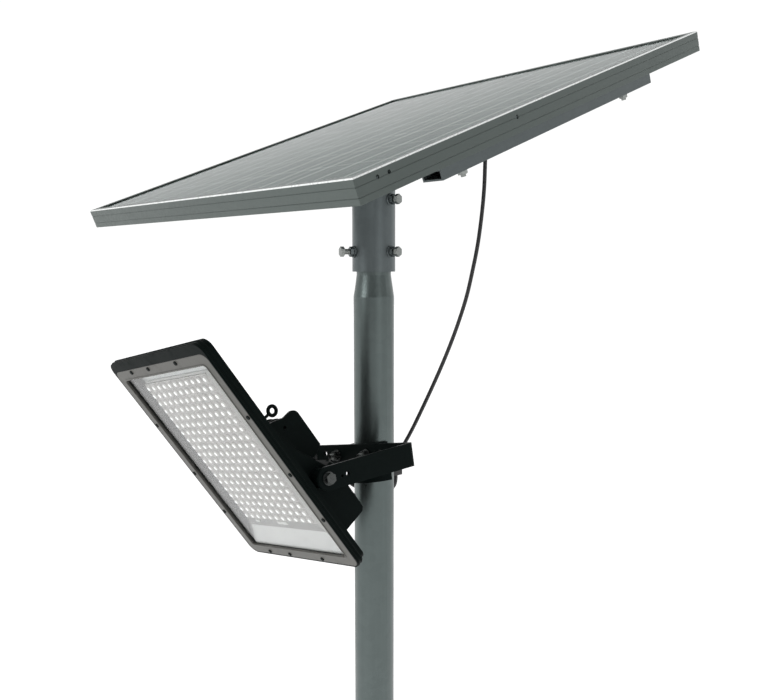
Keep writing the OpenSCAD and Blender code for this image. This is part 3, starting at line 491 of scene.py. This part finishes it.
# ---- helpers for beads, threads and loops ----
BEAD_SIDES, WELD_STEP = 8, 0.0035
THREAD_PITCH, THREAD_STEPS, M8_R = 0.00125, 16, 0.004
CORNER_STEPS = 8


def wobble(i):
    """A steady unevenness, as of a hand-laid bead."""
    return 1 + (0.10 * sin(i * 1.7) + 0.08 * sin(i * 0.61 + 1) + 0.07 * sin(i * 2.9 + 2))


def bead(bm, pts, r, closed=False):
    """A weld bead: a tube of uneven radius along pts."""
    path = [Vector(p) for p in pts]
    if closed:
        path = path + [path[0], path[1]]
    sweep(bm, path, lambda i: r * wobble(i), BEAD_SIDES)


def line(a, b):
    """Points from a to b, one for each weld step."""
    a, b = Vector(a), Vector(b)
    n = max(2, int((b - a).length / WELD_STEP))
    return [a.lerp(b, i / n) for i in range(n + 1)]


def circle(r, n, z):
    """Points of a circle about +z; z is a function of y."""
    angles = [2 * pi * k / n for k in range(n)]
    return [(r * cos(a), r * sin(a), z(r * sin(a))) for a in angles]


def thread(bm, matrix, length):
    """A helical M8 thread crest round +z of matrix, from z = 0 to length."""
    r, pitch = M8_R, THREAD_PITCH
    turns = length / pitch
    n = max(8, int(turns * THREAD_STEPS))
    last = None
    for i in range(n + 1):
        t = i / n
        a, z = 2 * pi * turns * t, length * t
        d = Vector((cos(a), sin(a), 0))
        ring = [bm.verts.new(matrix @ (d * rr + Vector((0, 0, z + dz))))
                for rr, dz in ((r - 0.0003, -pitch * 0.42), (r + 0.00025, 0), (r - 0.0003, pitch * 0.42))]
        if last:
            for k in range(2):
                bm.faces.new((last[k], last[k + 1], ring[k + 1], ring[k]))
        last = ring


def round_rect(w, l, r):
    """Points of a rounded rectangle in x and z."""
    out = []
    n = CORNER_STEPS
    for q, (sx, sz) in enumerate(((1, 1), (-1, 1), (-1, -1), (1, -1))):
        for k in range(n + 1):
            a = (q + k / n) * pi / 2
            out.append(Vector((sx * (w / 2 - r) + r * cos(a), 0, sz * (l / 2 - r) + r * sin(a))))
    return out


def loop(bm, pts, section):
    """A closed strip: section is a list of (outwards, depth) offsets from each point."""
    n = len(pts)
    rings = []
    for i, p in enumerate(pts):
        t = (pts[(i + 1) % n] - pts[i - 1]).normalized()
        out = Vector((t.z, 0, -t.x))
        if out.dot(p) < 0:
            out = -out
        rings.append([bm.verts.new(p + out * a + Vector((0, b, 0))) for a, b in section])
    for i in range(n):
        a, b = rings[i], rings[(i + 1) % n]
        for k in range(len(section) - 1):
            bm.faces.new((a[k], a[k + 1], b[k + 1], b[k]))


# ---- lamp, in its own frame ----
FACE_W, FACE_L, FACE_R = 0.262, 0.356, 0.014
WINDOW_W, WINDOW_L, WINDOW_Z, WINDOW_R = 0.228, 0.310, -0.006, 0.005
LENS_W, LENS_HALF_L, LENS_FRONT, LENS_Z = 0.176, 0.123, 0.0095, 0.011
LENS_FOOT, LENS_HEAD = LENS_Z - LENS_HALF_L, LENS_Z + LENS_HALF_L


def lenses():
    """Domed lenses in a grid: a crown that glows near white as a painted highlight, on a duller skirt."""
    lens = Mat("lens", (0.93, 0.92, 0.91), 0.12)
    lens.set("Coat Weight", 0.5)
    # Emission here is a painted highlight: the crown glows to stand in for the glint on each dome
    lens.set("Emission Color", (1, 0.99, 0.98, 1))
    lens.set("Emission Strength", 0.55)
    lens.to("Base Color", lens.mix((0.88, 0.87, 0.86), (0.97, 0.965, 0.96), lens.noise(420, 3)))
    lens.bump(lens.noise(700, 2), 0.06, 0.0002)
    cols, rows, pitch_x, pitch_z, sides = 11, 19, 0.0158, 0.0129, 12
    # radius and height of each ring, from the plate to the crown
    profile = [(0.0056, 0.0), (0.0053, 0.0012), (0.0043, 0.0024), (0.0031, 0.0030), (0.0010, 0.0034)]
    crown_ring = len(profile) - 2
    bm = bmesh.new()
    for i in range(cols):
        for j in range(rows):
            x, z = (i - (cols - 1) / 2) * pitch_x, LENS_Z + (j - (rows - 1) / 2) * pitch_z
            rings = [[bm.verts.new((x + r * cos(2 * pi * k / sides), LENS_FRONT - h,
                                    z + r * sin(2 * pi * k / sides))) for k in range(sides)]
                     for r, h in profile]
            for r, (u, v) in enumerate(zip(rings, rings[1:])):
                for k in range(sides):
                    f = bm.faces.new((u[k], u[(k + 1) % sides], v[(k + 1) % sides], v[k]))
                    # the crown faces take the glowing painted-highlight material, the rest take the skirt
                    f.material_index = 0 if r >= crown_ring else 1
            bm.faces.new(rings[-1])
    o = mesh_obj("lenses", bm, lens.m, "lamp", LAMP)
    skirt = Mat("lens_skirt", (0.72, 0.69, 0.675), 0.16)
    skirt.to("Base Color", skirt.mix((0.66, 0.63, 0.615), (0.78, 0.75, 0.735), skirt.noise(420, 3)))
    skirt.bump(skirt.noise(700, 2), 0.06, 0.0002)
    o.data.materials.append(skirt.m)


def sheet(bm, rows, xs):
    """A bent sheet: rows are (height, depth), xs the positions across."""
    grid = [[bm.verts.new((x, depth, height)) for x in xs] for height, depth in rows]
    for u, v in zip(grid, grid[1:]):
        for k in range(len(xs) - 1):
            bm.faces.new((u[k], u[k + 1], v[k + 1], v[k]))


def sheet_metal(name, dark, light):
    """Painted sheet with faint clouding."""
    m = Mat(name, light, 0.3)
    m.to("Base Color", m.mix(dark, light, m.noise(26, 4)))
    m.to("Roughness", m.ramp(m.noise(90, 4), [(0.3, 0.34), (0.7, 0.52)]))
    m.set("Specular IOR Level", 0.2)
    return m.bump(m.noise(300, 3), 0.08, 0.0004).m


def reflectors():
    """The sheets that fill the window round the lens plate, and the plate's connectors."""
    window_foot = WINDOW_Z - WINDOW_L / 2
    window_head = WINDOW_Z + WINDOW_L / 2
    half = WINDOW_W / 2 + 0.001
    band_end, band_depth = LENS_FOOT - 0.0155, 0.0112
    bm = bmesh.new()
    sheet(bm, [(LENS_FOOT, 0.0099), (LENS_FOOT - 0.014, 0.0099), (band_end, band_depth)], (-half, half))
    # the upper facet of the reflector is painted grey as shade, darker than the white lower facet of the
    # same sheet
    band = sheet_metal("band_painted_shade", (0.30, 0.29, 0.285), (0.38, 0.37, 0.365))
    mesh_obj("reflector_band", bm, band, "lamp", LAMP, smooth=False)
    bm = bmesh.new()
    sheet(bm, [(band_end, band_depth), (LENS_FOOT - 0.028, 0.0110), (LENS_FOOT - 0.038, 0.0098),
               (LENS_FOOT - 0.0445, 0.0080), (window_foot - 0.0005, 0.0060)], (-half, half))
    white = sheet_metal("reflector", (0.80, 0.80, 0.79), (0.90, 0.90, 0.89))
    mesh_obj("reflector_sheet", bm, white, "lamp", LAMP)
    inner, outer = LENS_W / 2 - 0.0005, half
    # painted light and shade: the two side walls are one material, the left painted near black as shade,
    # the right painted a lighter lit grey
    for name, side, dark, light in (("side_sheet_left_painted_shade", -1, (0.012, 0.010, 0.011), (0.030, 0.026, 0.028)),
                                    ("side_sheet_right_painted_light", 1, (0.42, 0.41, 0.39), (0.55, 0.54, 0.52))):
        bm = bmesh.new()
        corners = ((side * inner, 0.0096, LENS_FOOT - 0.001), (side * outer, 0.0060, window_foot + 0.004),
                   (side * outer, 0.0060, window_head + 0.001), (side * inner, 0.0096, LENS_HEAD))
        bm.faces.new([bm.verts.new(v) for v in corners])
        mesh_obj(name, bm, sheet_metal(name, dark, light), "lamp", LAMP, smooth=False)
    bm = bmesh.new()
    for x, w, h in ((0.004, 0.024, 0.005), (-0.060, 0.010, 0.004)):
        m = LAMP @ T((x, 0.0090, LENS_FOOT - 0.003)) @ Matrix.Diagonal((w, 0.003, h, 1))
        bmesh.ops.create_cube(bm, size=1, matrix=m)
    mesh_obj("plate_connector", bm, "board_white", "lamp", smooth=False, bevel=0.0006)


def casting_details():
    """Ridges round the rim, a raised lip round the window and ribs on the slanted back."""
    # sections are (outwards, depth)
    ridge = [(-0.0006, -0.0014), (0.0006, -0.0010), (0.0010, 0), (0.0006, 0.0010), (-0.0006, 0.0014)]
    lip = [(-0.0002, 0.0008), (-0.0002, -0.0006), (0.0009, -0.0010), (0.0020, -0.0006), (0.0022, 0.0004)]
    bm = bmesh.new()
    for depth in (0.0030, 0.0078):
        loop(bm, [p + Vector((0, depth, 0)) for p in round_rect(FACE_W, FACE_L, FACE_R)], ridge)
    mesh_obj("rim_ridges", bm, "lamp_casting", "lamp", LAMP)
    bm = bmesh.new()
    loop(bm, [p + Vector((0, 0, WINDOW_Z)) for p in round_rect(WINDOW_W, WINDOW_L, WINDOW_R)], lip)
    mesh_obj("window_lip", bm, "bezel_grey", "lamp", LAMP)
    rib_w, rib_depth = 0.0022, 0.009
    bm = bmesh.new()
    for x in (-0.100, -0.0915, 0.0915, 0.100):
        for top, foot, depth, slope in ((0.040, -0.012, 0.029, 0.26), (-0.014, -0.046, 0.042, 0.5)):
            m = T((x, depth, (top + foot) / 2)) @ Matrix.Rotation(math.atan(slope), 4, "X")
            m = m @ Matrix.Diagonal((rib_w, rib_depth, top - foot, 1))
            bmesh.ops.create_cube(bm, size=1, matrix=m)
    mesh_obj("back_ribs", bm, "lamp_casting", "lamp", LAMP, smooth=False, bevel=0.0005)


lenses()
reflectors()
casting_details()


# ---- welds and threads ----
SET_BOLT_ROWS = (2.229, 2.304)
SET_BOLT_ANGLES = (12, 132, 252)
LONG_SET_BOLT = (2.229, 252)


def base_welds():
    """Round the foot of the pole, and along both sides of each gusset."""
    side, foot_z, pole_y = 0.0052, 0.0132, 0.0312
    bm = bmesh.new()
    bead(bm, circle(0.0318, 60, lambda y: 0.0135), 0.0028, True)
    for q in range(4):
        m = Matrix.Rotation(q * pi / 2, 4, "Z")
        for s in (-side, side):
            for run in (line((0.034, s, foot_z), (0.118, s, foot_z)),
                        line((pole_y, s, 0.016), (pole_y, s, 0.118))):
                bead(bm, [m @ p for p in run], 0.0021)
    mesh_obj("base_welds", bm, "galvanised", "post")


def head_welds():
    """Round the sleeve's top under the sloping head plate, and round each weld nut."""
    plate_under, sleeve_r, nut_weld_r = 0.045, 0.03175, 0.0079

    def seat(y):
        return PANEL_Z + (-plate_under + sin(SLOPE) * (y - PANEL_SHIFT)) / cos(SLOPE) - 0.001

    bm = bmesh.new()
    bead(bm, circle(0.0328, 64, seat), 0.0024, True)
    for row in SET_BOLT_ROWS:
        for a in SET_BOLT_ANGLES:
            m = Matrix.Rotation(radians(a), 4, "Z")
            pts = []
            for k in range(24):
                u = 2 * pi * k / 24
                w, h = nut_weld_r * cos(u), nut_weld_r * sin(u)
                pts.append(m @ Vector((math.sqrt(sleeve_r ** 2 - w * w) + 0.0004, w, row + h)))
            bead(bm, pts, 0.0014, True)
    mesh_obj("head_welds", bm, "head_steel", "head")


def set_bolt_threads():
    """The thread that shows between each set bolt's head and its nut."""
    nut_face, long_gap, short_gap = 0.0384, 0.0088, 0.0028
    outwards = Matrix.Rotation(pi / 2, 4, "Y")
    bm = bmesh.new()
    for row in SET_BOLT_ROWS:
        for a in SET_BOLT_ANGLES:
            m = T((0, 0, row)) @ Matrix.Rotation(radians(a), 4, "Z") @ outwards @ T((0, 0, nut_face))
            thread(bm, m, long_gap if (row, a) == LONG_SET_BOLT else short_gap)
    mesh_obj("set_bolt_threads", bm, "zinc_hardware", "head")


def u_bolt_threads():
    """The ends of the U-bolt that stand out of their nuts."""
    u_half, nut_face = 0.035, -0.0435 - 0.0083
    bm = bmesh.new()
    for x in (-u_half, u_half):
        m = BRACKET @ T((x, nut_face, 0)) @ Matrix.Rotation(pi / 2, 4, "X")
        thread(bm, m, 0.0063)
    mesh_obj("u_bolt_threads", bm, "zinc_hardware", "bracket")


base_welds()
head_welds()
set_bolt_threads()
u_bolt_threads()


# ---- studio ----
def studio_floor():
    """A plain pale floor that glows a little, so that it stays white."""
    bm = bmesh.new()
    bmesh.ops.create_circle(bm, cap_ends=True, radius=40, segments=64)
    pale = Mat("floor", (0.86, 0.86, 0.86), 0.8)
    pale.to("Base Color", pale.mix((0.84, 0.84, 0.84), (0.88, 0.88, 0.88), pale.noise(1.5)))
    pale.set("Emission Color", (1, 1, 1, 1))
    pale.set("Emission Strength", 0.45)
    # just below the base plate's underside
    o = mesh_obj("floor", bm, pale.m, None, T((0, 0, -0.0005)))


def studio_world():
    """Brighter behind the object than behind the camera, as with a lit backdrop."""
    w = bpy.data.worlds.new("studio")
    w.use_nodes = True
    nt = w.node_tree
    tc = nt.nodes.new("ShaderNodeTexCoord")
    dot = nt.nodes.new("ShaderNodeVectorMath")
    dot.operation = "DOT_PRODUCT"
    dot.inputs[1].default_value = (-sin(AZ), cos(AZ), 0)
    ramp = nt.nodes.new("ShaderNodeMapRange")
    for socket, value in (("From Min", -0.9), ("From Max", 0.35), ("To Min", 0.22), ("To Max", 1.05)):
        ramp.inputs[socket].default_value = value
    bg = nt.nodes["Background"]
    nt.links.new(tc.outputs["Generated"], dot.inputs[0])
    nt.links.new(dot.outputs["Value"], ramp.inputs["Value"])
    nt.links.new(ramp.outputs[0], bg.inputs["Strength"])
    bg.inputs["Color"].default_value = (1, 1, 1, 1)
    bpy.context.scene.world = w
    bpy.context.scene.view_settings.view_transform = "Standard"


def soft_light(name, place, size, power):
    """An area light aimed at the head."""
    d = bpy.data.lights.new(name, "AREA")
    d.size = size
    d.energy = power
    o = link(bpy.data.objects.new(name, d))
    o.location = place
    o.rotation_euler = (Vector((0, 0, 2.0)) - Vector(place)).to_track_quat("-Z", "Y").to_euler()


studio_floor()
studio_world()
soft_light("key", (-0.6, -3.4, 3.4), 1.6, 45)
soft_light("fill", (3.4, -0.6, 2.6), 1.8, 8)
